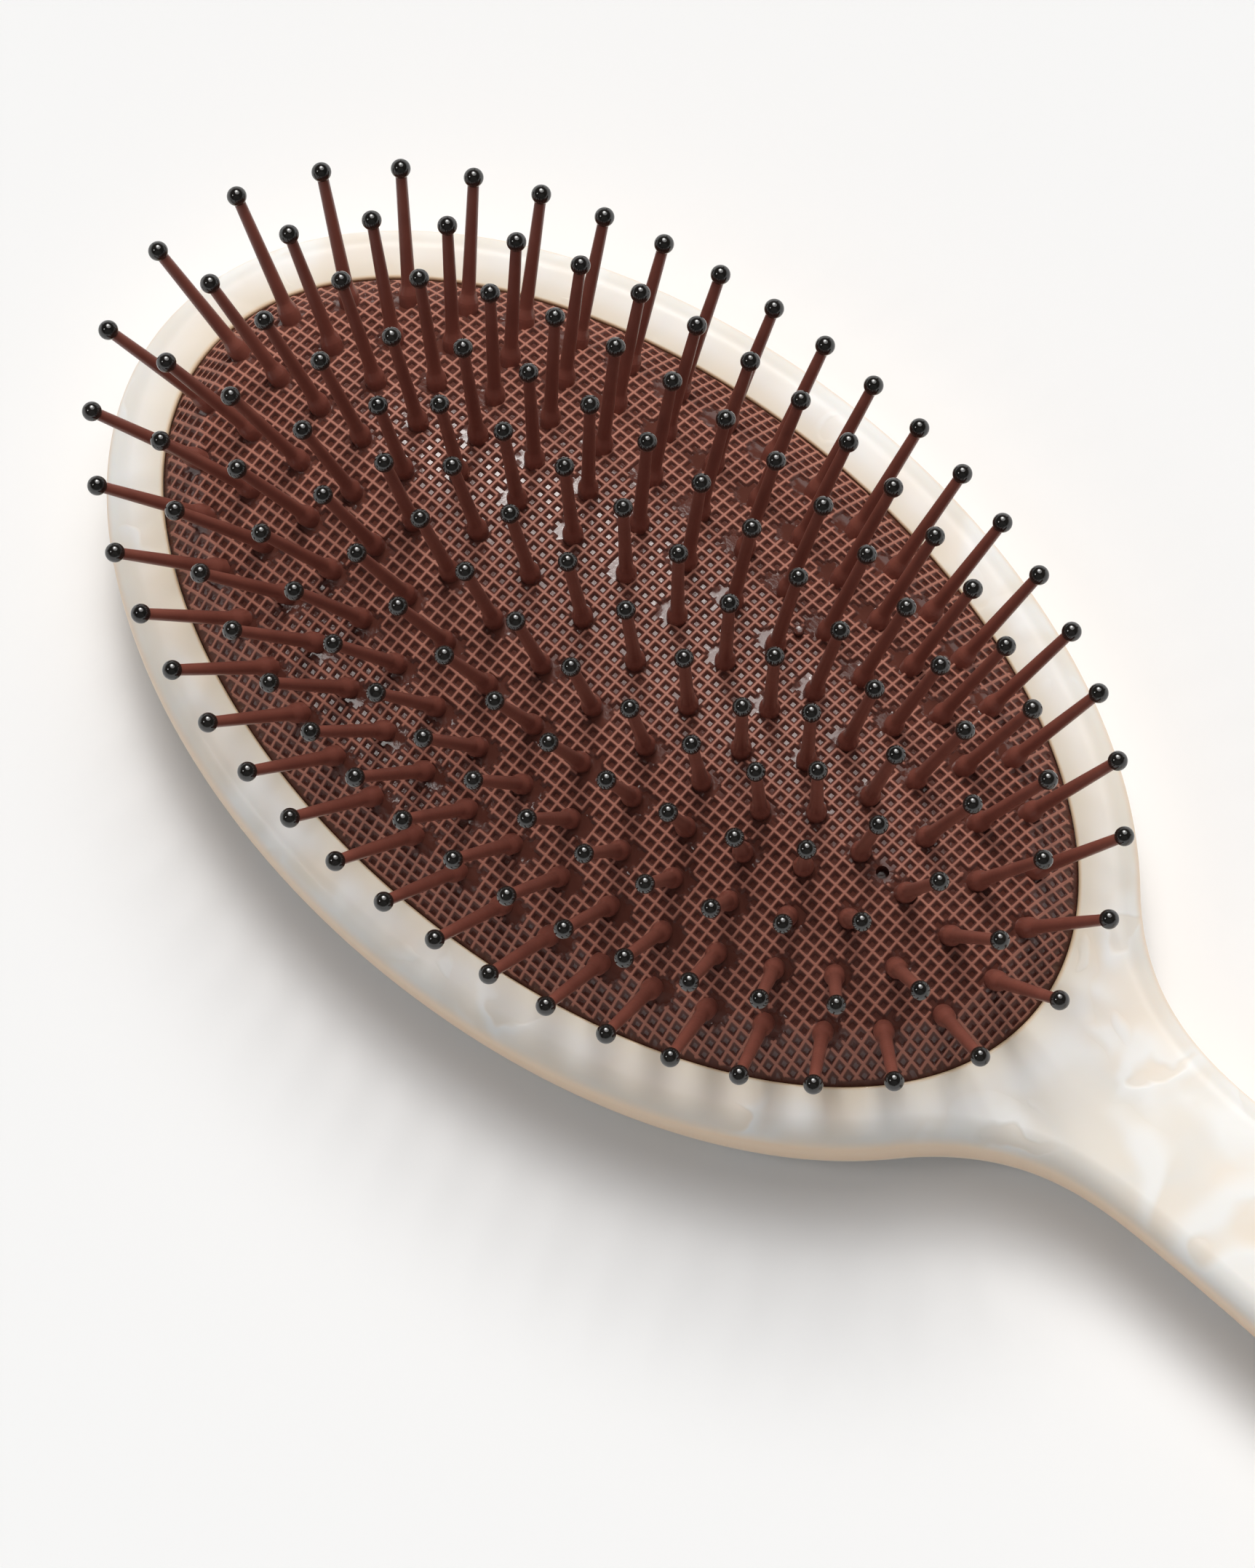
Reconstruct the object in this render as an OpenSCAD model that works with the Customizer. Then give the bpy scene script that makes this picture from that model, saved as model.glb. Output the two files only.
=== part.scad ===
// Oval cushion brush for detangling hair: a one-piece body with a rounded rim and a waisted handle,
// a domed rubber cushion tucked under the lip of its opening, and moulded pins with ball tips.
// Millimetres. +X runs from the middle of the cushion towards the handle, and +Z along the pins.
// The origin is on the flat back that the brush lies on, under the middle of the cushion.

/* [Head] */
// Length of the opening that the cushion fills
opening_l = 104; // [100:1:110]
// Width of the opening that the cushion fills
opening_w = 59; // [57:1:66]
// Width of the rim round the opening
rim_w = 5.8; // [5:0.1:7]
// Thickness of the body
body_t = 11; // [10.6:0.1:14]

/* [Handle] */
// Length of the whole body
body_l = 238; // [220:1:250]
// Distance from the middle of the cushion to the narrowest place of the neck
waist_x = 77; // [74:1:84]
// Width of the neck at its narrowest place
waist_w = 16.6; // [14:0.1:20]
// Distance from the middle of the cushion to the widest place of the handle
grip_x = 154; // [130:1:160]
// Width of the handle at its widest place
grip_w = 23; // [18:0.5:27]

/* [Rounded edges] */
// How far the rounding of the front edge reaches inwards
front_edge_in = 2.6; // [1.5:0.1:3]
// How far the rounding of the front edge reaches down
front_edge_down = 2.4; // [1.5:0.1:2.6]
// How far the rounding of the back edge reaches inwards
back_edge_in = 5; // [3:0.1:5.5]
// How far the rounding of the back edge reaches up
back_edge_up = 7.8; // [5:0.1:8]

/* [Recess] */
// Thickness of the lip over the groove
lip_t = 2.2; // [1.6:0.1:2.4]
// How far the groove reaches under the lip
groove_in = 1.7; // [1.2:0.1:2]
// Height of the groove
groove_h = 2.1; // [1.8:0.1:2.4]
// Thickness of the floor under the air chamber
floor_t = 3; // [2.5:0.1:4]

/* [Cushion] */
// Height of the middle of the dome over the front face of the rim
dome_h = 10.4; // [9:0.1:12]
// Thickness of the rubber
rubber_t = 1.4; // [1:0.1:1.6]
// How far the edge of the dome lies below the front face of the rim
dome_edge_drop = 0.3; // [0.2:0.1:0.6]
// Gap between the rubber and the body
rubber_gap = 0.25; // [0.15:0.05:0.3]
// Diameter of the vent hole
vent_d = 1.25; // [0.8:0.05:1.8]
// Diameter of the moulding stub
stub_d = 1; // [0.8:0.1:1.1]
// Height of the moulding stub over the rubber
stub_h = 0.7; // [0.4:0.1:1.2]

/* [Pin layout] */
// Number of pins in the outermost ring
outer_pins = 42; // [38:2:44]
// Number of pins that each ring has fewer than the ring outside it
fewer_pins = 6; // [4:2:6]
// Distance from the opening to the outermost ring, at the ends
end_inset = 3.8; // [3.4:0.1:4.4]
// Distance from the opening to the outermost ring, at the sides
side_inset = 4.6; // [4.3:0.1:5]
// Number of pins in the middle row
row_pins = 6; // [4:2:6]
// Distance from pin to pin in the middle row
row_pitch = 6.7; // [6:0.1:7.2]
// Length of the dome's ridge past the middle row, at each end
ridge_end_l = 3.5; // [3:0.1:4]
// Width of the dome's ridge, on which the middle row stands
ridge_w = 1.4; // [1.3:0.1:2]
// Lean of the outermost pins, in degrees
ring_lean = 39.5; // [36:0.5:42]
// Lean that each ring has less than the ring outside it, in degrees
ring_lean_step = 8.3; // [7.5:0.1:8.5]
// Lean that each pin of the middle row has more than its neighbour on the inner side, in degrees
row_lean_step = 2.6; // [0:0.1:3]

/* [Pins] */
// Length of a pin from the rubber to the middle of its ball
pin_l = 14.4; // [11:0.1:17]
// Diameter of the foot in the rubber
foot_d = 2; // [1.8:0.05:2.2]
// Height of the foot over the rubber
foot_h = 0.8; // [0.5:0.1:1.4]
// Length over which the foot narrows to the shaft
shoulder_l = 1.5; // [1:0.1:2]
// Diameter of the shaft above the shoulder
shaft_d = 1.35; // [1.2:0.05:1.5]
// Diameter of the shaft where it enters the ball
neck_d = 1.1; // [0.8:0.05:1.2]
// Gap between the foot and the rubber round it
pin_gap = 0.05; // [0.03:0.01:0.08]
// Diameter of the flat head under the rubber
head_d = 2.7; // [2.4:0.1:2.8]
// Thickness of the flat head
head_t = 0.8; // [0.5:0.1:1]
// Room between the flat head and the rubber above it
head_room = 0.9; // [0.85:0.05:1.1]

/* [Ball tips] */
// Diameter of a ball
ball_d = 1.9; // [1.6:0.05:2.1]
// How far the socket passes the middle of the ball
socket_past = 0.2; // [0.1:0.05:0.3]
// Gap between the shaft and its socket
socket_gap = 0.02; // [0.01:0.01:0.04]

/* [Hidden] */
$fn = 64;

// Colours of the four materials
PEARL = "#eee6d8";
RUBBER = "#6b3428";
NYLON = "#7d3b2c";
BLACK = "#1b1c1e";

// A ring is drawn in two halves, each the other turned half round the middle of the cushion
LEFT = 0;
RIGHT = 1;

// Semi-axes of the opening and of the head's outline
opening_a = opening_l / 2;
opening_b = opening_w / 2;
head_a = opening_a + rim_w;
head_b = opening_b + rim_w;
grip_end_l = body_l - head_a - grip_x;

// Overrun of every cut past the face that it opens
cut = 1;
// Where the outline leaves the head's ellipse for the neck, as a share of the head's half length
neck_start_share = 0.87;
// Steps along each stretch of one half of the outline
head_steps = 30;
neck_steps = 9;
grip_steps = 8;
end_steps = 8;
// Steps round the front and back edges
front_steps = 4;
back_steps = 7;

// Number of rings of pins, and the level of the dome at which its ridge lies
rings = 5;
crown_level = rings + 0.1;
// How many levels outside the outermost ring the dome's curve would come down to the rim's face
outer_levels = 1.4;
// Semi-axes of the ridge, and the distances from ring to ring that spread the rings evenly up to it
ridge_a = row_pitch * (row_pins - 1) / 2 + ridge_end_l;
ridge_b = ridge_w / 2;
end_pitch = (opening_a - end_inset - ridge_a) / crown_level;
side_pitch = (opening_b - side_inset - ridge_b) / crown_level;
// Points round each level of the cushion, and the levels between the outermost ring and the crown
cushion_points = 48;
cushion_levels = 7;
// Steps from the edge of the dome up to the outermost ring, and how much steeper the first one is
edge_steps = 3;
edge_bulge_share = 0.1;
// How far the inner face of a level lies inside the outer one, as a share of the rubber's thickness
inner_face_share = 0.36;
// Width of the ellipse whose equal steps space the pins of the outermost ring, as a share of its
// length, and how much less that share is for each ring further in
spacing_share = 0.48;
spacing_step_share = 0.04;
// Points that measure that ellipse
spacing_points = 120;
// The vent hole lies on the X axis midway between two rings, at this level
vent_level = rings / 2;
// The moulding stub stands at this level, on the inner side of this pin of this ring; the pins are
// counted from the one at the handle's end
stub_level = 2.4;
stub_ring = 3;
stub_pin = 5;

// A cubic curve through two points with their slopes, at the fraction t of its run
function curve(from, to, slope_from, slope_to, t) = let (
    run = to[0] - from[0],
    y = from[1] * (2 * pow(t, 3) - 3 * pow(t, 2) + 1)
      + slope_from * run * (pow(t, 3) - 2 * pow(t, 2) + t)
      + to[1] * (3 * pow(t, 2) - 2 * pow(t, 3))
      + slope_to * run * (pow(t, 3) - pow(t, 2))
  ) [from[0] + run * t, y];

// One half of the body's outline, from the head's end to the handle's end
neck_angle = acos(neck_start_share);
neck_start = [head_a * cos(neck_angle), head_b * sin(neck_angle)];
neck_slope = -head_b / head_a * cos(neck_angle) / sin(neck_angle);
waist = [waist_x, waist_w / 2];
grip = [grip_x, grip_w / 2];
half_outline = [
  for (i = [0:head_steps]) let (a = 180 - (180 - neck_angle) * i / head_steps)
    [head_a * cos(a), head_b * sin(a)],
  for (i = [1:neck_steps]) curve(neck_start, waist, neck_slope, 0, i / neck_steps),
  for (i = [1:grip_steps]) curve(waist, grip, 0, 0, i / grip_steps),
  for (i = [1:end_steps]) let (a = 90 * i / end_steps)
    [grip_x + grip_end_l * sin(a), grip[1] * cos(a)]
];

// The whole outline, counterclockwise from the handle's end
half_count = len(half_outline);
outline = [
  for (i = [half_count - 1:-1:1]) half_outline[i],
  [half_outline[0][0], 0],
  for (i = [1:half_count - 2]) [half_outline[i][0], -half_outline[i][1]]
];

// The outline drawn in by a distance along its own normals, at a height
function drawn_in(distance, z) = let (n = len(outline)) [
  for (i = [0:n - 1]) let (
    ahead = outline[(i + 1) % n],
    behind = outline[(i + n - 1) % n],
    along = (ahead - behind) / norm(ahead - behind),
    out = [along[1], -along[0]]
  ) [each (outline[i] - distance * out), z]
];

// An ellipse of points at a height
function oval(a, b, z, count) = [
  for (i = [0:count - 1]) let (t = 360 * i / count) [a * cos(t), b * sin(t), z]
];

// A closed solid through stacked rings of points. Each ring has the same even number of points, runs
// counterclockwise from the +X end and mirrors itself in the X axis, so strips across it close the ends.
module loft(stack) {
  n = len(stack[0]);
  last = (len(stack) - 1) * n;
  points = [for (ring = stack) each ring];
  sides = [
    for (k = [0:len(stack) - 2]) for (i = [0:n - 1]) let (
      a = k * n + i,
      b = k * n + (i + 1) % n
    ) each [[a, a + n, b + n], [a, b + n, b]]
  ];
  end = [
    for (i = [0:n / 2 - 2]) [i, i + 1, n - i - 1],
    for (i = [1:n / 2 - 1]) [i, n - i - 1, n - i]
  ];
  far_end = [for (f = end) [last + f[2], last + f[1], last + f[0]]];
  polyhedron(points = points, faces = concat(end, sides, far_end));
}

// A right cylinder on an ellipse
module oval_cylinder(a, b, h) {
  scale([a, b, 1]) cylinder(r = 1, h = h);
}

// Body: rounded skin, less the opening, the groove under its lip and the air chamber
module body() {
  groove_top = body_t - lip_t;
  groove_bottom = groove_top - groove_h;
  color(PEARL) difference() {
    loft([
      for (i = [0:back_steps]) let (a = 90 * i / back_steps)
        drawn_in(back_edge_in * (1 - sin(a)), back_edge_up * (1 - cos(a))),
      for (i = [0:front_steps]) let (a = 90 * i / front_steps)
        drawn_in(front_edge_in * (1 - cos(a)), body_t - front_edge_down * (1 - sin(a)))
    ]);
    translate([0, 0, floor_t]) oval_cylinder(opening_a, opening_b, body_t - floor_t + cut);
    translate([0, 0, groove_bottom])
      oval_cylinder(opening_a + groove_in, opening_b + groove_in, groove_h);
  }
}

// Semi-axes of the dome's level line, and its height over the rim; level 0 holds the outermost ring
function level_a(level) = opening_a - end_inset - end_pitch * level;
function level_b(level) = opening_b - side_inset - side_pitch * level;
function level_rise(level) = dome_h * (
  1 - pow((crown_level - level) / (crown_level + outer_levels), 2)
);
function level_oval(level, in, drop) = oval(
  level_a(level) - in, level_b(level) - in, body_t + level_rise(level) - drop, cushion_points
);

// Cushion: a domed skin with a rim bead that reaches into the groove
bead_out = groove_in - rubber_gap;
bead_top = body_t - lip_t - rubber_gap;
bead_bottom = body_t - lip_t - groove_h + rubber_gap;
dome_edge_z = body_t - dome_edge_drop;
function skirt(out, z) = oval(opening_a + out, opening_b + out, z, cushion_points);
// The line at the share s of the way from the edge of the dome up to the outermost ring
function dome_edge(s) = let (
    rise = s * (1 + edge_bulge_share * (1 - s))
  ) oval(
    (opening_a - rubber_gap) * (1 - s) + level_a(0) * s,
    (opening_b - rubber_gap) * (1 - s) + level_b(0) * s,
    dome_edge_z + (level_rise(0) + dome_edge_drop) * rise,
    cushion_points
  );
module cushion_skin() {
  inner_in = rubber_t * inner_face_share;
  loft([
    for (i = [cushion_levels:-1:0])
      level_oval(crown_level * i / cushion_levels, inner_in, rubber_t),
    skirt(-rubber_gap - rubber_t, dome_edge_z - rubber_t / 2),
    skirt(-rubber_gap - rubber_t, bead_bottom),
    skirt(bead_out, bead_bottom),
    skirt(bead_out, bead_top),
    skirt(-rubber_gap, bead_top),
    for (i = [0:edge_steps - 1]) dome_edge(i / edge_steps),
    for (i = [0:cushion_levels]) level_oval(crown_level * i / cushion_levels, 0, 0)
  ]);
}
module cushion() {
  stub_a = pin_angle(stub_ring - 1, stub_pin, outer_pins - fewer_pins * (stub_ring - 1));
  color(RUBBER) {
    difference() {
      cushion_skin();
      for (ring = [1:rings]) for (half = [LEFT, RIGHT]) ring_places(ring, half) pin_hole();
      for (half = [LEFT, RIGHT]) row_places(half) pin_hole();
      translate([level_a(vent_level), 0, body_t]) cylinder(d = vent_d, h = dome_h + cut);
    }
    translate([
      level_a(stub_level) * cos(stub_a),
      level_b(stub_level) * sin(stub_a),
      body_t + level_rise(stub_level) - rubber_t / 2
    ]) cylinder(d = stub_d, h = rubber_t / 2 + stub_h);
  }
}
// The hole through the rubber for one pin's foot
module pin_hole() {
  below = rubber_t + head_room;
  translate([0, 0, -below]) cylinder(d = foot_d + 2 * pin_gap, h = below + foot_h);
}

// Distance run along an ellipse of length one and the given width, against the angle
function spacing_chord(a, step, width_share) = norm([
  cos(a) - cos(a - step),
  width_share * (sin(a) - sin(a - step))
]);
spacing_tables = let (step = 360 / spacing_points) [
  for (level = [0:rings - 1]) let (width_share = spacing_share - spacing_step_share * level) [
    for (a = 0, run = 0; a <= 360; a = a + step, run = run + spacing_chord(a, step, width_share))
      [run, a]
  ]
];
function pin_angle(level, i, count) = let (
    table = spacing_tables[level],
    whole_run = table[len(table) - 1][0]
  ) lookup(whole_run * i / count, table);

// Puts its children at each pin of one half of a ring, standing on the rubber along the pin. A pin
// leans the way in which the opening's ellipse, drawn smaller through its place, faces
module ring_places(ring, half) {
  level = ring - 1;
  count = outer_pins - fewer_pins * level;
  for (i = [0:count / 2 - 1]) {
    a = pin_angle(level, i + half * count / 2, count);
    place = [level_a(level) * cos(a), level_b(level) * sin(a)];
    aim = [place[0] / pow(opening_a, 2), place[1] / pow(opening_b, 2)];
    translate([place[0], place[1], body_t + level_rise(level)])
      rotate([0, ring_lean - ring_lean_step * level, atan2(aim[1], aim[0])]) children();
  }
}

// Puts its children at each pin of one half of the middle row, which stands on the dome's ridge
module row_places(half) {
  side = half == LEFT ? 1 : -1;
  for (i = [0:row_pins / 2 - 1]) {
    steps = side * (i + 1 / 2);
    translate([row_pitch * steps, 0, body_t + dome_h]) rotate([0, row_lean_step * steps, 0])
      children();
  }
}

// A pin: flat head, foot through the rubber, shoulder and tapering shaft, from its place upwards
shoulder_steps = 5;
module pin() {
  head_top = -rubber_t - head_room;
  pin_top = pin_l + socket_past - socket_gap;
  foot_r = foot_d / 2;
  narrowing = (foot_d - shaft_d) / 4;
  color(NYLON) rotate_extrude() polygon([
    [0, head_top - head_t],
    [head_d / 2, head_top - head_t],
    [head_d / 2, head_top],
    [foot_r, head_top],
    for (i = [0:shoulder_steps]) let (share = i / shoulder_steps)
      [foot_r - narrowing * (1 - cos(180 * share)), foot_h + shoulder_l * share],
    [neck_d / 2, pin_l - ball_d / 2],
    [neck_d / 2, pin_top],
    [0, pin_top]
  ]);
}

// A ball tip with the socket that the shaft fills
module tip() {
  color(BLACK) translate([0, 0, pin_l]) difference() {
    sphere(d = ball_d);
    translate([0, 0, -ball_d]) cylinder(d = neck_d + 2 * socket_gap, h = ball_d + socket_past);
  }
}

body();
cushion();
ring_places(1, LEFT) pin();  // pins_ring_1_left
ring_places(1, RIGHT) pin();  // pins_ring_1_right
ring_places(1, LEFT) tip();  // tips_ring_1_left
ring_places(1, RIGHT) tip();  // tips_ring_1_right
ring_places(2, LEFT) pin();  // pins_ring_2_left
ring_places(2, RIGHT) pin();  // pins_ring_2_right
ring_places(2, LEFT) tip();  // tips_ring_2_left
ring_places(2, RIGHT) tip();  // tips_ring_2_right
ring_places(3, LEFT) pin();  // pins_ring_3_left
ring_places(3, RIGHT) pin();  // pins_ring_3_right
ring_places(3, LEFT) tip();  // tips_ring_3_left
ring_places(3, RIGHT) tip();  // tips_ring_3_right
ring_places(4, LEFT) pin();  // pins_ring_4_left
ring_places(4, RIGHT) pin();  // pins_ring_4_right
ring_places(4, LEFT) tip();  // tips_ring_4_left
ring_places(4, RIGHT) tip();  // tips_ring_4_right
ring_places(5, LEFT) pin();  // pins_ring_5_left
ring_places(5, RIGHT) pin();  // pins_ring_5_right
ring_places(5, LEFT) tip();  // tips_ring_5_left
ring_places(5, RIGHT) tip();  // tips_ring_5_right
row_places(LEFT) pin();  // pins_row_handle_half
row_places(RIGHT) pin();  // pins_row_head_half
row_places(LEFT) tip();  // tips_row_handle_half
row_places(RIGHT) tip();  // tips_row_head_half
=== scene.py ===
import math

import bpy
import numpy as np
from mathutils import Matrix, Vector, geometry


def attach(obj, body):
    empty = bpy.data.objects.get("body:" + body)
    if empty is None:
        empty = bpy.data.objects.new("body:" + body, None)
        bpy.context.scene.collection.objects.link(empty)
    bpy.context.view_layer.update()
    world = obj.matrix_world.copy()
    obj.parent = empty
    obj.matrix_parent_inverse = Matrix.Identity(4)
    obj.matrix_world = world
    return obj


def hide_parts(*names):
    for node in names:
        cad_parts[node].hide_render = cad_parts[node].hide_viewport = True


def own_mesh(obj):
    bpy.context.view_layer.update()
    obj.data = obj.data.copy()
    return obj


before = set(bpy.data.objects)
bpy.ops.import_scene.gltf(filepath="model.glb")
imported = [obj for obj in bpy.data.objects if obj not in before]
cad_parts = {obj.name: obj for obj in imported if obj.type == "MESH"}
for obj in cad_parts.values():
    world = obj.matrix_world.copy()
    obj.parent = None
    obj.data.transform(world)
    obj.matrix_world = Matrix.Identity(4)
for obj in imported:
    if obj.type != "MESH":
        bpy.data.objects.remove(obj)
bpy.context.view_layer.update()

MM = 0.001
scene = bpy.context.scene

# Sizes of the part that the dressed pieces repeat, in millimetres
OPENING_A, OPENING_B = 52.0, 29.5
RIM_W = 5.8
BODY_T = 11.0
BODY_L = 238.0
WAIST_X, WAIST_W = 77.0, 16.6
GRIP_X, GRIP_W = 154.0, 23.0
FRONT_EDGE_IN, FRONT_EDGE_DOWN = 2.6, 2.4
BACK_EDGE_IN, BACK_EDGE_UP = 5.0, 7.8
LIP_T = 2.2
GROOVE_IN, GROOVE_H = 1.7, 2.1
FLOOR_T = 3.0
DOME_H = 10.4
RUBBER_T = 1.4
DOME_EDGE_DROP = 0.3
RUBBER_GAP = 0.25
DOME_GAP = 0.06
VENT_D = 1.25
STUB_D, STUB_H = 1.0, 0.7
OUTER_PINS, FEWER_PINS, RINGS = 42, 6, 5
END_INSET, SIDE_INSET = 3.8, 4.6
ROW_PINS, ROW_PITCH = 6, 6.7
RIDGE_END_L, RIDGE_W = 3.5, 1.4
CROWN_LEVEL, OUTER_LEVELS = RINGS + 0.1, 1.4
END_PITCH = (OPENING_A - END_INSET - ROW_PITCH * (ROW_PINS - 1) / 2 - RIDGE_END_L) / CROWN_LEVEL
SIDE_PITCH = (OPENING_B - SIDE_INSET - RIDGE_W / 2) / CROWN_LEVEL
VENT_LEVEL = RINGS / 2
STUB_LEVEL, STUB_RING, STUB_PIN = 2.4, 3, 5
SPACING_SHARE, SPACING_STEP_SHARE, SPACING_POINTS = 0.48, 0.04, 120
EDGE_BULGE_SHARE = 0.1
NECK_START_SHARE = 0.87

# Body of the scene's own: finer steps, and a rounded lip at the opening
HEAD_STEPS, NECK_STEPS, GRIP_STEPS, END_STEPS = 120, 40, 40, 36
FRONT_STEPS, BACK_STEPS = 10, 16
LIP_R, LIP_STEPS = 0.25, 5
OPENING_POINTS = 384
SAME_POINT = 1e-7

# Waffle on the rubber: ribs at an even pitch along the rubber, cut off round each pin
RIB_PITCH = 1.112
RIB_H = 0.38
RIB_FOOT = 0.36
RIB_MID = 0.20
RIB_CREST = 0.08
PIN_CLEARING_R = 1.42
VENT_CLEARING_R = 1.35

# Rubber of the scene's own: the waffle's margin at the edge and the vent, the hem, and the underside
EDGE_MARGIN, VENT_MARGIN = 0.08, 0.05
HEM_H, HEM_BACK_H = 0.4, 0.7
UNDERSIDE_RINGS, UNDERSIDE_IN_SHARE = 6, 0.36
SHARP_DEG = 28
BEAD_TOP_DROP, BEAD_BACK_DROP, BEAD_POINTS = 0.12, 0.8, 256
STUB_ROOT_H, STUB_POINTS = 0.6, 32
STUB_ROUNDING = ((0.0, 0.15), (0.05, 0.04), (0.15, 0.0))

# Numeric searches over the dome
HALVINGS, FAR_LEVEL = 40, -3.0
TABLE_MARGIN, TABLE_POINTS = 2.0, 4001


def level_a(level):
    return OPENING_A - END_INSET - END_PITCH * level


def level_b(level):
    return OPENING_B - SIDE_INSET - SIDE_PITCH * level


def level_rise(level):
    return DOME_H * (1 - ((CROWN_LEVEL - level) / (CROWN_LEVEL + OUTER_LEVELS)) ** 2)


def mesh_object(name, points, faces, smooth=True):
    """A mesh object from points in millimetres."""
    mesh = bpy.data.meshes.new(name)
    places = [tuple(p) for p in np.asarray(points) * MM]
    mesh.from_pydata(places, [], [tuple(int(i) for i in f) for f in faces])
    mesh.update()
    if smooth:
        mesh.polygons.foreach_set("use_smooth", [True] * len(mesh.polygons))
    obj = bpy.data.objects.new(name, mesh)
    scene.collection.objects.link(obj)
    return obj


def oval(a, b, count):
    t = 2 * math.pi * np.arange(count) / count
    return np.stack([a * np.cos(t), b * np.sin(t)], 1)


def quarter_turn(steps):
    """Sines and cosines at even steps over a quarter turn."""
    for i in range(steps + 1):
        a = math.pi / 2 * i / steps
        yield math.sin(a), math.cos(a)


def ring_faces(first, second, count):
    """Faces between two rings of points, each given by its first point."""
    pairs = [(i, (i + 1) % count) for i in range(count)]
    return [(first + i, first + j, second + j, second + i) for i, j in pairs]


def loop_faces(upper, lower):
    """Faces between two loops of as many points, each an array of their numbers."""
    return np.stack([np.roll(upper, -1), upper, lower, np.roll(lower, -1)], 1).tolist()


# The body's outline, as in the part, in finer steps
def curve(start, end, slope_start, slope_end, t):
    run = end[0] - start[0]
    y = (start[1] * (2 * t**3 - 3 * t**2 + 1) + slope_start * run * (t**3 - 2 * t**2 + t)
         + end[1] * (3 * t**2 - 2 * t**3) + slope_end * run * (t**3 - t**2))
    return [start[0] + run * t, y]


def body_outline():
    """Points of the outline, counterclockwise from the handle's end."""
    a, b = OPENING_A + RIM_W, OPENING_B + RIM_W
    end_l = BODY_L - a - GRIP_X
    neck_angle = math.acos(NECK_START_SHARE)
    neck = [a * math.cos(neck_angle), b * math.sin(neck_angle)]
    slope = -b / a * math.cos(neck_angle) / math.sin(neck_angle)
    waist, grip = [WAIST_X, WAIST_W / 2], [GRIP_X, GRIP_W / 2]
    half = []
    for i in range(HEAD_STEPS + 1):
        t = math.pi - (math.pi - neck_angle) * i / HEAD_STEPS
        half.append([a * math.cos(t), b * math.sin(t)])
    half += [curve(neck, waist, slope, 0, i / NECK_STEPS) for i in range(1, NECK_STEPS + 1)]
    half += [curve(waist, grip, 0, 0, i / GRIP_STEPS) for i in range(1, GRIP_STEPS + 1)]
    half += [[GRIP_X + end_l * sin, grip[1] * cos] for sin, cos in list(quarter_turn(END_STEPS))[1:]]
    half[0][1] = half[-1][1] = 0.0
    points = half[:0:-1] + [half[0]] + [[x, -y] for x, y in half[1:-1]]
    return np.array(points)


def drawn_in(outline, distance):
    along = np.roll(outline, -1, 0) - np.roll(outline, 1, 0)
    along /= np.linalg.norm(along, axis=1)[:, None]
    out = np.stack([along[:, 1], -along[:, 0]], 1)
    return outline - distance * out


def flat_front(points, top, n, rim, m):
    """Faces between the outline's n points from top and the lip's m points from rim."""
    flat = [Vector(points[i][:2]) for i in (*range(top, top + n), *range(rim, rim + m))]
    edges = [(i, (i + 1) % n) for i in range(n)] + [(n + i, n + (i + 1) % m) for i in range(m)]
    found = geometry.delaunay_2d_cdt(flat, edges, [], 0, SAME_POINT)
    triangles, where = found[2], found[3]
    x, y = np.array([points[top + i][:2] for i in range(n)]).T
    x2, y2 = np.roll(x, -1), np.roll(y, -1)
    faces = []
    for face in triangles:
        ids = [where[i][0] for i in face]
        cx = sum(flat[i].x for i in ids) / 3
        cy = sum(flat[i].y for i in ids) / 3
        in_opening = (cx / (OPENING_A + LIP_R)) ** 2 + (cy / (OPENING_B + LIP_R)) ** 2 < 1
        crosses = ((y > cy) != (y2 > cy)) & (cx < (x2 - x) * (cy - y) / np.where(y2 == y, 1, y2 - y) + x)
        if in_opening or crosses.sum() % 2 == 0:
            continue
        ids = [top + i if i < n else rim + i - n for i in ids]
        a, b, c = (points[i] for i in ids)
        if (b[0] - a[0]) * (c[1] - a[1]) - (b[1] - a[1]) * (c[0] - a[0]) < 0:
            ids.reverse()
        faces.append(tuple(ids))
    return faces


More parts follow.
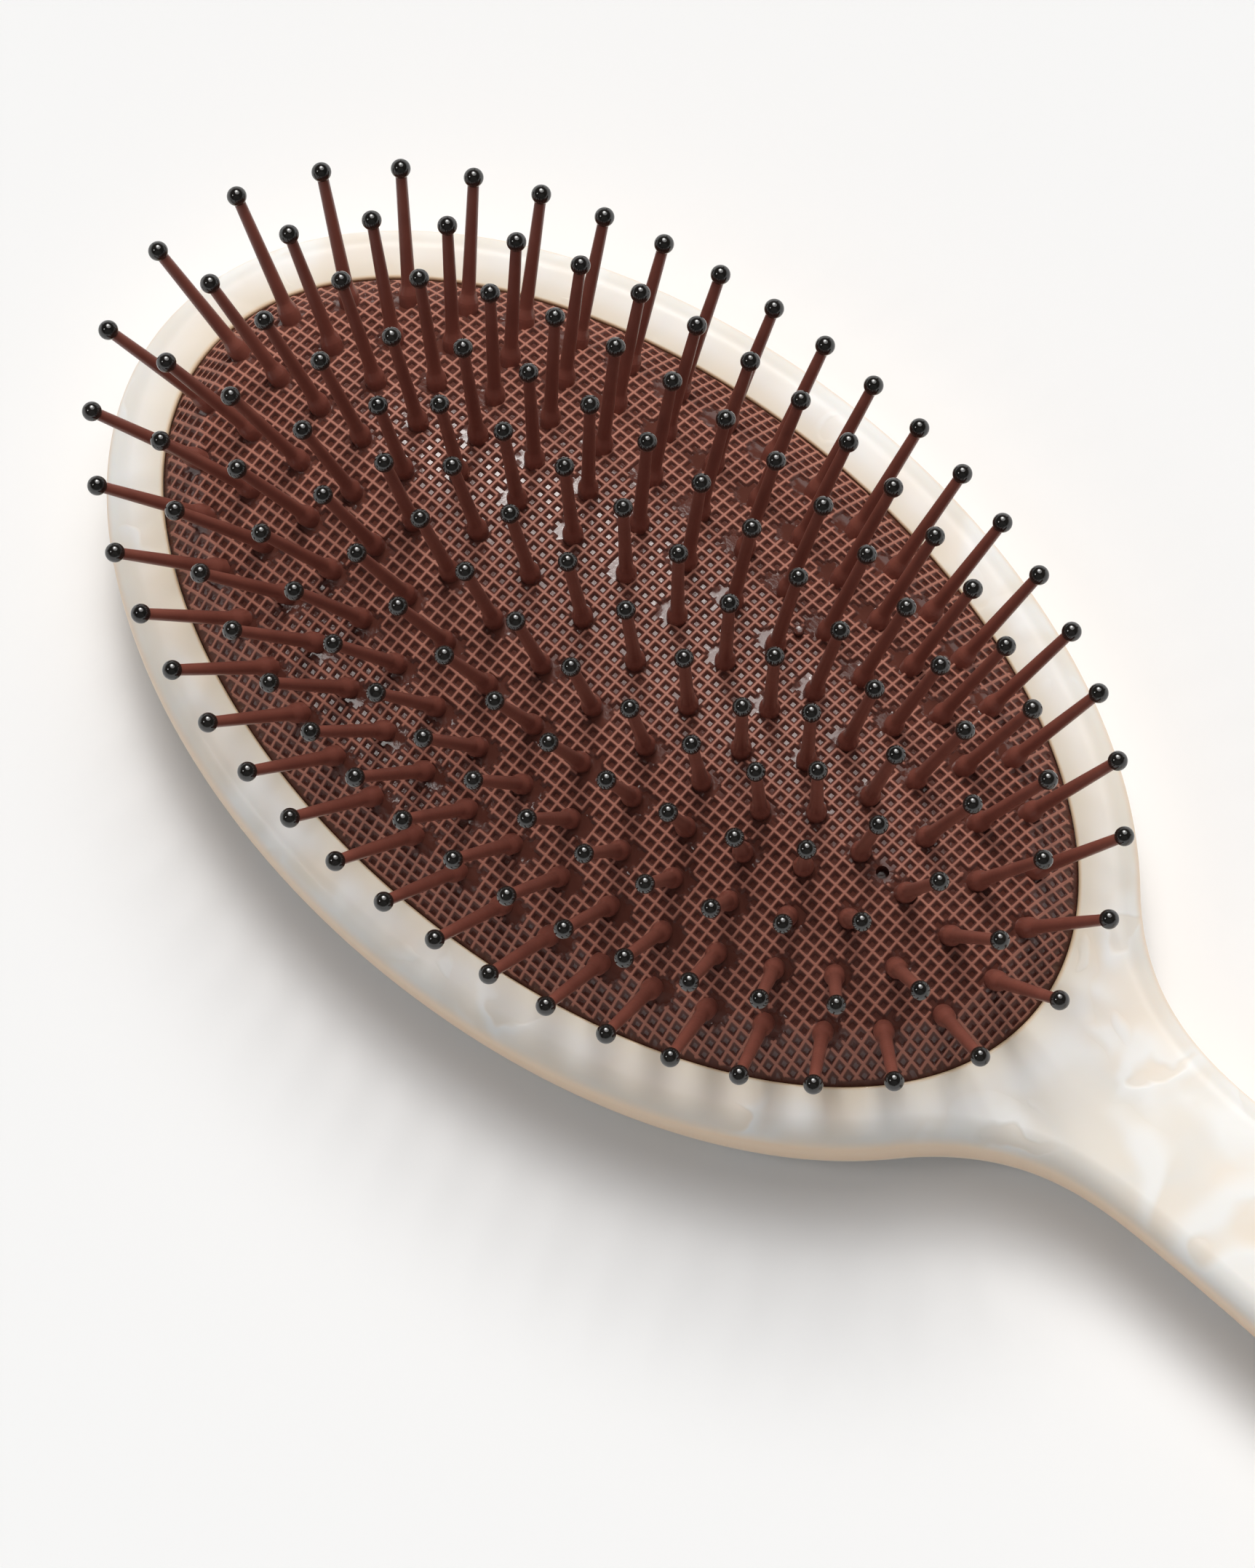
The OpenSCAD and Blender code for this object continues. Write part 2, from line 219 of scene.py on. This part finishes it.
def build_body():
    outline = body_outline()
    n, m = len(outline), OPENING_POINTS
    points = []

    def add(ring, z):
        points.extend([x, y, z] for x, y in ring)
        return len(points) - len(ring)

    # The outside, from the flat back over the sides to the flat front
    rings = []
    for sin, cos in quarter_turn(BACK_STEPS):
        rings.append(add(drawn_in(outline, BACK_EDGE_IN * (1 - sin)), BACK_EDGE_UP * (1 - cos)))
    for sin, cos in quarter_turn(FRONT_STEPS):
        ring = drawn_in(outline, FRONT_EDGE_IN * (1 - cos))
        rings.append(add(ring, BODY_T - FRONT_EDGE_DOWN * (1 - sin)))
    faces = [face for first, second in zip(rings, rings[1:]) for face in ring_faces(first, second, n)]

    # The flat back, closed by strips across the X axis
    faces.append((0, n - 1, 1))
    faces += [(i, n - i, n - i - 1, i + 1) for i in range(1, n // 2 - 1)]
    faces.append((n // 2 - 1, n // 2 + 1, n // 2))

    # The opening: rounded lip, wall, groove, chamber and floor
    lip = []
    for sin, cos in quarter_turn(LIP_STEPS):
        grow = LIP_R * (1 - sin)
        lip.append(add(oval(OPENING_A + grow, OPENING_B + grow, m), BODY_T - LIP_R * (1 - cos)))
    groove_top = BODY_T - LIP_T
    groove_bottom = groove_top - GROOVE_H
    inner = oval(OPENING_A, OPENING_B, m)
    outer = oval(OPENING_A + GROOVE_IN, OPENING_B + GROOVE_IN, m)
    for ring, z in ((inner, groove_top), (outer, groove_top), (outer, groove_bottom),
                    (inner, groove_bottom), (inner, FLOOR_T)):
        lip.append(add(ring, z))
    faces += [face for first, second in zip(lip, lip[1:]) for face in ring_faces(first, second, m)]
    faces.append(range(lip[-1], lip[-1] + m))

    faces += flat_front(points, rings[-1], n, lip[0], m)
    return mesh_object("body_shell", points, faces)


body_shell = build_body()
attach(body_shell, "frame")
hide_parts("body")


# Places of the pins, the vent and the stub, as in the part
def spacing_angles(level):
    """Angles of a ring's pins, evenly spaced along a narrower oval."""
    count = OUTER_PINS - FEWER_PINS * level
    a = np.linspace(0, 2 * math.pi, SPACING_POINTS + 1)
    step = 2 * math.pi / SPACING_POINTS
    width = SPACING_SHARE - SPACING_STEP_SHARE * level
    chord = np.hypot(np.cos(a) - np.cos(a - step), width * (np.sin(a) - np.sin(a - step)))
    run = np.concatenate([[0], np.cumsum(chord[:-1])])
    return np.interp(run[-1] * np.arange(count) / count, run, a)


def on_level(level, angle):
    return level_a(level) * math.cos(angle), level_b(level) * math.sin(angle)


FEET = [on_level(level, angle) for level in range(RINGS) for angle in spacing_angles(level)]
FEET += [(ROW_PITCH * (i + 0.5 - ROW_PINS / 2), 0.0) for i in range(ROW_PINS)]
VENT = (level_a(VENT_LEVEL), 0.0)
STUB = on_level(STUB_LEVEL, spacing_angles(STUB_RING - 1)[STUB_PIN])
EDGE_A, EDGE_B = OPENING_A - DOME_GAP, OPENING_B - DOME_GAP


# The dome as a height over the plane
def oval_through(x, y, low, high, axes):
    """The value from low to high for which axes gives the half axes of an oval through each point."""
    low, high = np.full(x.shape, low), np.full(x.shape, high)
    for _ in range(HALVINGS):
        mid = (low + high) / 2
        a, b = axes(mid)
        inside = (x / a) ** 2 + (y / b) ** 2 <= 1
        low = np.where(inside, mid, low)
        high = np.where(inside, high, mid)
    return (low + high) / 2


def edge_axes(share):
    """Half axes of the ovals from the edge of the dome, 0, to the outermost ring, 1."""
    return EDGE_A * (1 - share) + level_a(0) * share, EDGE_B * (1 - share) + level_b(0) * share


def dome_height(x, y):
    level = oval_through(x, y, FAR_LEVEL, CROWN_LEVEL, lambda at: (level_a(at), level_b(at)))
    share = oval_through(x, y, 0.0, 1.0, edge_axes)
    rise = level_rise(np.maximum(level, 0))
    edge_rise = (level_rise(0) + DOME_EDGE_DROP) * share * (1 + EDGE_BULGE_SHARE * (1 - share))
    return BODY_T + np.where(level > 0, rise, edge_rise - DOME_EDGE_DROP)


def along_rubber(half, heights):
    """A table of places on an axis and of how far along the rubber they lie, from the heights over it."""
    x = np.linspace(-half - TABLE_MARGIN, half + TABLE_MARGIN, TABLE_POINTS)
    step = np.hypot(np.diff(x), np.diff(heights(x)))
    u = np.concatenate([[0], np.cumsum(step)])
    return x, u - np.interp(0, x, u)


TABLE_X = along_rubber(EDGE_A, lambda x: dome_height(x, np.zeros(x.shape)))
TABLE_Y = along_rubber(EDGE_B, lambda y: dome_height(np.zeros(y.shape), y))


def rib_height(across, along, first, clearings):
    """Height of the ribs along one axis, at places across and along them. first is one of their crests."""
    k = np.round((across - first) / RIB_PITCH).astype(int)
    off = np.abs(across - first - k * RIB_PITCH)
    gap = np.zeros(across.shape)
    for line in np.unique(k):
        here = k == line
        crest = first + line * RIB_PITCH
        cuts = []
        for c_across, c_along, radius in clearings:
            reach = radius ** 2 - (crest - c_across) ** 2
            if reach > 0:
                cuts.append([c_along - math.sqrt(reach), c_along + math.sqrt(reach)])
        merged = []
        for low, high in sorted(cuts):
            if merged and low < merged[-1][1] + RIB_CREST:
                merged[-1][1] = max(merged[-1][1], high)
            else:
                merged.append([low, high])
        at = along[here]
        short = np.zeros(at.shape)
        for low, high in merged:
            inside = (at > low) & (at < high)
            short[inside] = np.minimum(at[inside] - low, high - at[inside])
        gap[here] = short
    d = np.hypot(off, gap)
    return RIB_H * np.clip((RIB_FOOT - d) / (RIB_FOOT - RIB_CREST), 0, 1)


def grid_lines(table, first):
    """Grid lines on each rib's feet, sides and crest: their places along the rubber and on the axis."""
    offsets = np.array([-RIB_FOOT, -RIB_MID, -RIB_CREST, RIB_CREST, RIB_MID, RIB_FOOT])
    count = int(table[1][-1] / RIB_PITCH)
    u = (first + np.arange(-count, count + 1)[:, None] * RIB_PITCH + offsets).ravel()
    return u, np.interp(u, table[1], table[0])


def dome_grid():
    """Quads of the dome's face, and the places of their points on the plane and along the rubber."""
    us, xs = grid_lines(TABLE_X, 0.0)
    vs, ys = grid_lines(TABLE_Y, RIB_PITCH / 2)
    shape = len(us), len(vs)
    u, v = (g.ravel() for g in np.meshgrid(us, vs, indexing="ij"))
    x, y = (g.ravel() for g in np.meshgrid(xs, ys, indexing="ij"))
    inside = (x / (EDGE_A - EDGE_MARGIN)) ** 2 + (y / (EDGE_B - EDGE_MARGIN)) ** 2 < 1
    out_of_vent = np.hypot(x - VENT[0], y - VENT[1]) > VENT_D / 2 + VENT_MARGIN
    keep = (inside & out_of_vent).reshape(shape)
    i, j = np.nonzero(keep[:-1, :-1] & keep[1:, :-1] & keep[1:, 1:] & keep[:-1, 1:])
    corner, row = i * shape[1] + j, shape[1]
    quads = np.stack([corner, corner + row, corner + row + 1, corner + 1], 1)

    # Drop the points that no quad uses
    used = np.zeros(len(x), bool)
    used[quads.ravel()] = True
    new = np.cumsum(used) - 1
    return new[quads], x[used], y[used], u[used], v[used]


def open_loops(quads, count):
    """The open boundary of a mesh of quads, as loops of points, the shortest first."""
    e = np.concatenate([quads[:, [k, (k + 1) % 4]] for k in range(4)])
    keys = e[:, 0] * count + e[:, 1]
    back = e[:, 1] * count + e[:, 0]
    follow = dict(e[~np.isin(keys, back)].tolist())
    loops = []
    while follow:
        start, following = next(iter(follow.items()))
        loop = [start]
        del follow[start]
        while following != start:
            loop.append(following)
            following = follow.pop(following)
        loops.append(np.array(loop))
    return sorted(loops, key=len)


def build_dome():
    quads, x, y, u, v = dome_grid()
    loops = open_loops(quads, len(x))
    vent_loop, edge_loop = loops[0], loops[-1]

    # Snap the boundaries to the edge's ellipse and to the vent's circle
    ovals = ((edge_loop, (0, 0), EDGE_A, EDGE_B), (vent_loop, VENT, VENT_D / 2, VENT_D / 2))
    for loop, (cx, cy), a, b in ovals:
        px, py = x[loop] - cx, y[loop] - cy
        s = 1 / np.hypot(px / a, py / b)
        x[loop], y[loop] = cx + px * s, cy + py * s

    # Ribs along both axes, which stop round each pin, the vent and the stub
    spots = [(*foot, PIN_CLEARING_R) for foot in FEET]
    spots.append((*VENT, VENT_CLEARING_R))
    spots.append((*STUB, STUB_D / 2 + RIB_FOOT / 2))
    spots = [(np.interp(cx, *TABLE_X), np.interp(cy, *TABLE_Y), r) for cx, cy, r in spots]
    rib = np.maximum(rib_height(u, v, 0.0, spots),
                     rib_height(v, u, RIB_PITCH / 2, [(b, a, r) for a, b, r in spots]))
    rib[edge_loop] = 0
    rib[vent_loop] = 0
    face = np.stack([x, y, dome_height(x, y) + rib], 1)
    faces = quads.tolist()

    # Edge: a turned-down hem, and then the plain underside up to a point at its middle
    t = np.arctan2(face[edge_loop, 1] / EDGE_B, face[edge_loop, 0] / EDGE_A)
    under = [(EDGE_A, EDGE_B, -DOME_EDGE_DROP - HEM_H),
             (EDGE_A - RUBBER_T, EDGE_B - RUBBER_T, -DOME_EDGE_DROP - HEM_BACK_H)]
    for k in range(UNDERSIDE_RINGS):
        level = CROWN_LEVEL * k / UNDERSIDE_RINGS
        inset = UNDERSIDE_IN_SHARE * RUBBER_T
        under.append((level_a(level) - inset, level_b(level) - inset, level_rise(level) - RUBBER_T))
    blocks, loop, first = [face], edge_loop, len(face)
    for a, b, h in under:
        blocks.append(np.stack([a * np.cos(t), b * np.sin(t), np.full(len(t), BODY_T + h)], 1))
        below = np.arange(first, first + len(t))
        faces += loop_faces(loop, below)
        loop = below
        first += len(t)
    blocks.append(np.array([[0.0, 0.0, BODY_T + DOME_H - RUBBER_T]]))
    faces += [(after, before, first) for after, before in zip(np.roll(loop, -1), loop)]
    first += 1

    # Vent: a short bore with a flat bottom, which stands for the way through the rubber
    blocks.append(face[vent_loop] - (0, 0, RUBBER_T))
    bottom = np.arange(first, first + len(vent_loop))
    faces += loop_faces(vent_loop, bottom)
    faces.append(bottom[::-1])

    points = np.concatenate(blocks)
    obj = mesh_object("rubber_dome", points, faces)
    obj.data.set_sharp_from_angle(angle=math.radians(SHARP_DEG))
    share = np.zeros(len(points), np.float32)
    share[:len(rib)] = rib / RIB_H
    obj.data.attributes.new("rib_share", "FLOAT", "POINT").data.foreach_set("value", share)
    return obj


rubber_dome = build_dome()
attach(rubber_dome, "frame")
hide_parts("cushion")


# The rim bead under the lip, and the band that closes the gap to the dome
def build_bead():
    front, back = -RUBBER_GAP, -RUBBER_GAP - RUBBER_T
    out = GROOVE_IN - RUBBER_GAP
    top = BODY_T - LIP_T - RUBBER_GAP
    bottom = BODY_T - LIP_T - GROOVE_H + RUBBER_GAP
    edge = BODY_T - DOME_EDGE_DROP
    section = [(front, edge - BEAD_TOP_DROP), (front, top), (out, top), (out, bottom), (back, bottom),
               (back, edge - BEAD_BACK_DROP)]
    points, faces, m = [], [], BEAD_POINTS
    for grow, z in section:
        points += [[x, y, z] for x, y in oval(OPENING_A + grow, OPENING_B + grow, m)]
    for k in range(len(section)):
        faces += ring_faces((k + 1) % len(section) * m, k * m, m)
    return mesh_object("rubber_bead", points, faces, smooth=False)


rubber_bead = build_bead()
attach(rubber_bead, "frame")
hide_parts("cushion")


# The moulding stub
def build_stub():
    r, m = STUB_D / 2, STUB_POINTS
    z = float(dome_height(np.array([STUB[0]]), np.array([STUB[1]]))[0])
    section = [(r, z - STUB_ROOT_H)] + [(r - inward, z + STUB_H - down) for inward, down in STUB_ROUNDING]
    points, faces = [], []
    for radius, h in section:
        points += [[STUB[0] + x, STUB[1] + y, h] for x, y in oval(radius, radius, m)]
    for k in range(len(section) - 1):
        faces += ring_faces(k * m, (k + 1) * m, m)
    faces.append(range(m)[::-1])
    faces.append(range((len(section) - 1) * m, len(section) * m))
    return mesh_object("rubber_stub", points, faces)


rubber_stub = build_stub()
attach(rubber_stub, "frame")


# Materials
class Shader:
    """A node tree with a short call for each kind of node, which takes plain values and other outputs."""

    def __init__(self, tree):
        self.nodes, self.links = tree.nodes, tree.links

    def feed(self, node, inputs):
        for key, value in inputs.items():
            socket = node.inputs[key]
            if isinstance(value, bpy.types.NodeSocket):
                self.links.new(value, socket)
            elif isinstance(value, tuple) and len(socket.default_value) == 4:
                socket.default_value = (*value, 1)
            else:
                socket.default_value = value

    def add(self, kind, inputs=None, **settings):
        node = self.nodes.new("ShaderNode" + kind)
        for name, value in settings.items():
            setattr(node, name, value)
        self.feed(node, inputs or {})
        return node

    def noise(self, point, scale, detail, distortion=0.0, output="Fac"):
        inputs = {"Vector": point, "Scale": scale, "Detail": detail, "Distortion": distortion}
        return self.add("TexNoise", inputs).outputs[output]

    def ramp(self, value, *stops):
        node = self.add("ValToRGB", {"Fac": value})
        elements = node.color_ramp.elements
        elements.remove(elements[1])
        elements[0].position = stops[0][0]
        elements[0].color = (*stops[0][1], 1)
        for position, color in stops[1:]:
            elements.new(position).color = (*color, 1)
        return node.outputs["Color"]

    def math(self, operation, *values):
        return self.add("Math", dict(enumerate(values)), operation=operation).outputs[0]

    def vector_math(self, operation, *values):
        return self.add("VectorMath", dict(enumerate(values)), operation=operation).outputs[0]

    def parts(self, vector):
        return self.add("SeparateXYZ", {0: vector}).outputs

    def span(self, value, low, high, to_low=0.0, to_high=1.0):
        """value from low to high, taken smoothly to the other range."""
        inputs = {"Value": value, "From Min": low, "From Max": high, "To Min": to_low, "To Max": to_high}
        return self.add("MapRange", inputs, interpolation_type="SMOOTHSTEP").outputs["Result"]

    def blend(self, factor, first, second):
        # Sockets 6 and 7 of a Mix node take its colours, and output 2 gives the blend
        return self.add("Mix", {"Factor": factor, 6: first, 7: second}, data_type="RGBA").outputs[2]

    def bump(self, height, strength, distance):
        inputs = {"Height": height, "Strength": strength, "Distance": distance}
        return self.add("Bump", inputs).outputs["Normal"]


def new_material(name, look):
    """A material whose Principled BSDF takes the inputs that look makes with the shader."""
    mat = bpy.data.materials.new(name)
    mat.use_nodes = True
    shader = Shader(mat.node_tree)
    shader.feed(shader.nodes["Principled BSDF"], look(shader))
    return mat


# Colours: the stops of a ramp, or one plain colour
PEARL_GROUND = ((0.32, (0.855, 0.755, 0.625)), (0.45, (0.835, 0.765, 0.665)),
                (0.55, (0.805, 0.76, 0.69)), (0.68, (0.855, 0.755, 0.635)))
PEARL_CREST = (0.88, 0.86, 0.82)
# Sides: the sheet's warmer body, with a painted warm glow of light through the plastic
PEARL_SIDE_AND_GLOW = ((0.35, (0.90, 0.62, 0.40)), (0.65, (0.94, 0.74, 0.54)))
# Painted glow and painted line of the rubber shining through the rim next to the opening
RIM_GLOW, RIM_GLOW_LINE = (0.86, 0.74, 0.55), (0.74, 0.52, 0.30)
# Rubber: painted shade in the valleys between the ribs, and a painted highlight on the crests
RUBBER_VALLEY_SHADE = ((0.3, (0.100, 0.031, 0.021)), (0.7, (0.130, 0.042, 0.029)))
RUBBER_CREST_HIGHLIGHT = ((0.3, (0.400, 0.150, 0.100)), (0.7, (0.455, 0.180, 0.122)))
NYLON = ((0.3, (0.205, 0.063, 0.044)), (0.7, (0.248, 0.078, 0.054)))
GLOSS_BLACK = ((0.3, (0.010, 0.009, 0.008)), (0.7, (0.016, 0.014, 0.012)))

# Folds of the pearl: their scale, the noise over which they show, and the offset of that noise
WIDE_FOLDS = (50.0, 0.43, 0.57, 0.3)
NARROW_FOLDS = (120.0, 0.46, 0.62, 0.7)
FOLD_LAYERS, FOLD_TOP, FOLD_END = 3.0, 0.20, 0.95
FOLD_WARP, WARP_SCALE, SHOWN_SCALE = (0.6, 0.6, 0.3), 1.6, 0.7
SIDE_STRETCH = (12, 12, 260)

# Spans: two limits of what is read, and the values at them. Round the opening, its edge is read as 1.
SIDE_GLOW_SPAN = (0.12, 0.72, 0.92, 0.0)
GLOW_SPAN = (1.0, 1.085, 0.6, 0.0)
GLOW_LINE_SPAN = (1.003, 1.011, 0.8, 0.0)
LIP_COAT_SPAN = (1.0, 1.009, 0.9, 0.08)
# The rib crests take the painted highlight, and the floor between the ribs the painted shade
RIB_HIGHLIGHT_SPAN = (0.60, 1.0, 0.0, 1.0)
RIB_ROUGHNESS_SPAN = (0.02, 0.20, 0.15, 0.60)


def folds(shader, point, scale, low, high, offset):
    """Folds of pearl: a warped field cut into layers, which rise fast on one side and fade on the other."""
    warp = shader.noise(point, scale * WARP_SCALE, 2.0, output="Color")
    reach = tuple(share / scale for share in FOLD_WARP)
    moved = shader.vector_math("ADD", point, (offset, 0.0, 0.0))
    field = shader.noise(shader.vector_math("MULTIPLY_ADD", warp, reach, moved), scale, 1.0, 0.6)
    layer = shader.math("FRACT", shader.math("MULTIPLY", field, FOLD_LAYERS))
    rise = shader.span(layer, 0.0, FOLD_TOP)
    fall = shader.span(layer, FOLD_TOP, FOLD_END, 1.0, 0.0)
    shown = shader.span(shader.noise(moved, scale * SHOWN_SCALE, 1.0), low, high)
    return shader.math("MULTIPLY", shader.math("MULTIPLY", rise, fall), shown)


def pearl_look(shader):
    coord = shader.add("TexCoord").outputs
    point = coord["Object"]
    crest = shader.math("MAXIMUM", folds(shader, point, *WIDE_FOLDS), folds(shader, point, *NARROW_FOLDS))
    color = shader.blend(crest, shader.ramp(shader.noise(point, 38, 2.0, 0.8), *PEARL_GROUND), PEARL_CREST)

    # The sides show the sheet's warmer body in faint layers along the edge, deepened by a painted warm glow
    # of light through the plastic
    side = shader.span(shader.math("ABSOLUTE", shader.parts(coord["Normal"])["Z"]), *SIDE_GLOW_SPAN)
    squeezed = shader.add("Mapping", {"Vector": point, "Scale": SIDE_STRETCH}).outputs["Vector"]
    color = shader.blend(side, color, shader.ramp(shader.noise(squeezed, 1.0, 3.0, 0.3), *PEARL_SIDE_AND_GLOW))

    # Next to the opening, a painted glow and a thin painted line stand for the rubber shining through the
    # rim, and the lip is polished
    place = shader.parts(point)
    across = shader.math("DIVIDE", place["X"], OPENING_A * MM)
    along = shader.math("DIVIDE", place["Y"], OPENING_B * MM)
    squares = shader.math("ADD", shader.math("POWER", across, 2.0), shader.math("POWER", along, 2.0))
    far = shader.math("SQRT", squares)
    color = shader.blend(shader.span(far, *GLOW_SPAN), color, RIM_GLOW)
    color = shader.blend(shader.span(far, *GLOW_LINE_SPAN), color, RIM_GLOW_LINE)
    return {"Base Color": color, "Normal": shader.bump(crest, 0.14, 0.0004), "Roughness": 0.4, "IOR": 1.46,
            "Coat Weight": shader.span(far, *LIP_COAT_SPAN), "Coat Roughness": 0.06,
            "Subsurface Weight": 0.12, "Subsurface Radius": (1.0, 0.7, 0.45), "Subsurface Scale": 0.002}


def rubber_look(shader):
    """Painted shade between the ribs and a painted highlight on their crests, and glossy only on the floor
    between them.
    """
    point = shader.add("TexCoord").outputs["Object"]
    rib = shader.add("Attribute", attribute_name="rib_share").outputs["Fac"]
    clouds = shader.noise(point, 120, 3.0)
    shaded_valley, crest = shader.ramp(clouds, *RUBBER_VALLEY_SHADE), shader.ramp(clouds, *RUBBER_CREST_HIGHLIGHT)
    return {"Base Color": shader.blend(shader.span(rib, *RIB_HIGHLIGHT_SPAN), shaded_valley, crest),
            "Normal": shader.bump(shader.noise(point, 2500, 2.0), 0.08, 0.0002),
            "Roughness": shader.span(rib, *RIB_ROUGHNESS_SPAN)}


def nylon_look(shader):
    point = shader.add("TexCoord").outputs["Object"]
    return {"Base Color": shader.ramp(shader.noise(point, 300, 3.0), *NYLON),
            "Normal": shader.bump(shader.noise(point, 1800, 2.0), 0.1, 0.0002), "Roughness": 0.30}


def gloss_look(shader):
    point = shader.add("TexCoord").outputs["Object"]
    return {"Base Color": shader.ramp(shader.noise(point, 400, 2.0), *GLOSS_BLACK),
            "Roughness": 0.05, "IOR": 1.7}


pearl = new_material("pearl_acetate", pearl_look)
rubber = new_material("cushion_rubber", rubber_look)
nylon = new_material("pin_nylon", nylon_look)
gloss = new_material("tip_gloss", gloss_look)
body_shell.data.materials.append(pearl)
for piece in (rubber_dome, rubber_bead, rubber_stub):
    piece.data.materials.append(rubber)
for name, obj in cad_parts.items():
    if name.startswith(("pins_", "tips_")):
        for slot in obj.material_slots:
            slot.material = nylon if name.startswith("pins_") else gloss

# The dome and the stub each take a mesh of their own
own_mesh(rubber_dome)
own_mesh(rubber_stub)

# Camera, fitted to the photograph: directions in degrees, lengths in half lengths of the opening
AZIMUTH, ELEVATION, ROLL = math.radians(-35.15), math.radians(69.25), math.radians(-13.20)
PIXELS_PER_A, SHIFT_X, SHIFT_Y, DISTANCE_A = 759.20, 0.0165, -0.1901, 40.0
PHOTO_H = 2156
SENSOR_MM = 36
A_M = OPENING_A * MM
toward = Vector((math.cos(ELEVATION) * math.cos(AZIMUTH), math.cos(ELEVATION) * math.sin(AZIMUTH),
                 math.sin(ELEVATION)))
level_right = Vector((-math.sin(AZIMUTH), math.cos(AZIMUTH), 0))
level_up = toward.cross(level_right)
right = math.cos(ROLL) * level_right + math.sin(ROLL) * level_up
up = -math.sin(ROLL) * level_right + math.cos(ROLL) * level_up
place = Vector((0, 0, BODY_T * MM)) + A_M * (DISTANCE_A * toward + SHIFT_X * right + SHIFT_Y * up)
cam_data = bpy.data.cameras.new("photo_camera")
cam = bpy.data.objects.new("photo_camera", cam_data)
scene.collection.objects.link(cam)
cam.matrix_world = Matrix.Translation(place) @ Matrix((right, up, toward)).transposed().to_4x4()
cam_data.sensor_fit = "AUTO"
cam_data.sensor_width = SENSOR_MM
cam_data.lens = SENSOR_MM * PIXELS_PER_A * DISTANCE_A / PHOTO_H
cam_data.clip_start, cam_data.clip_end = 0.05, 50
scene.camera = cam

# Floor, a little under the part so that the two don't share a plane
FLOOR_HALF, FLOOR_DROP = 3, 0.00005
FLOOR_PAPER = {"Base Color": (0.952, 0.948, 0.940), "Roughness": 0.9, "Specular IOR Level": 0}
floor_corners = [(x * FLOOR_HALF, y * FLOOR_HALF, 0) for x, y in ((-1, -1), (1, -1), (1, 1), (-1, 1))]
floor_mesh = bpy.data.meshes.new("floor")
floor_mesh.from_pydata(floor_corners, [], [(0, 1, 2, 3)])
floor = bpy.data.objects.new("floor", floor_mesh)
scene.collection.objects.link(floor)
floor.location.z = -FLOOR_DROP
floor_mesh.materials.append(new_material("floor", lambda shader: FLOOR_PAPER))

# Lights: share of the light on a level surface, spread, angle from the camera, bearing in the picture
SUNS = {
    "core": (0.157, 16, 60, -4),
    "key": (0.284, 34, 56, -4),
    "around": (0.283, 46, 44, 6),
    "left": (0.05, 12, 48, -78),
    "front": (0.02, 80, -35, 0),
}
FILL_SHARE = 0.186
WARM = (1.0165, 1.0, 0.977)
COOL = (0.93, 1.0, 1.10)

for name, (share, spread, angle, bearing) in SUNS.items():
    angle, bearing = math.radians(angle), math.radians(bearing)
    side = math.sin(bearing) * right + math.cos(bearing) * up
    way = math.cos(angle) * toward + math.sin(angle) * side
    data = bpy.data.lights.new(name, "SUN")
    data.angle = math.radians(spread)
    data.energy = share * math.pi / way.z
    data.color = WARM
    sun = bpy.data.objects.new(name, data)
    scene.collection.objects.link(sun)
    sun.location = way
    sun.rotation_mode = "QUATERNION"
    sun.rotation_quaternion = way.to_track_quat("Z", "Y")

# World: plain fill, and a background where it is seen, pale low down and dark above
PAPER = (0.939, 0.930, 0.913)
DARK_ABOVE = (0.015, 0.015, 0.015)
PALE_UP_TO, DARK_FROM = 0.02, 0.40
world = bpy.data.worlds.new("studio")
scene.world = world
world.use_nodes = True
sky = Shader(world.node_tree)
fill = sky.nodes["Background"]
sky.feed(fill, {"Color": COOL, "Strength": FILL_SHARE})
height = sky.parts(sky.add("TexCoord").outputs["Generated"])["Z"]
backdrop = sky.blend(sky.span(height, PALE_UP_TO, DARK_FROM), PAPER, DARK_ABOVE)
seen = sky.add("Background", {"Color": backdrop, "Strength": 1})
path = sky.add("LightPath").outputs
seen_by = path["Is Camera Ray"]
for kind in ("Is Glossy Ray", "Is Transmission Ray"):
    seen_by = sky.math("MAXIMUM", seen_by, path[kind])
mixed = sky.add("MixShader", {"Fac": seen_by, 1: fill.outputs[0], 2: seen.outputs[0]})
sky.feed(sky.nodes["World Output"], {"Surface": mixed.outputs[0]})

scene.view_settings.view_transform = "Standard"
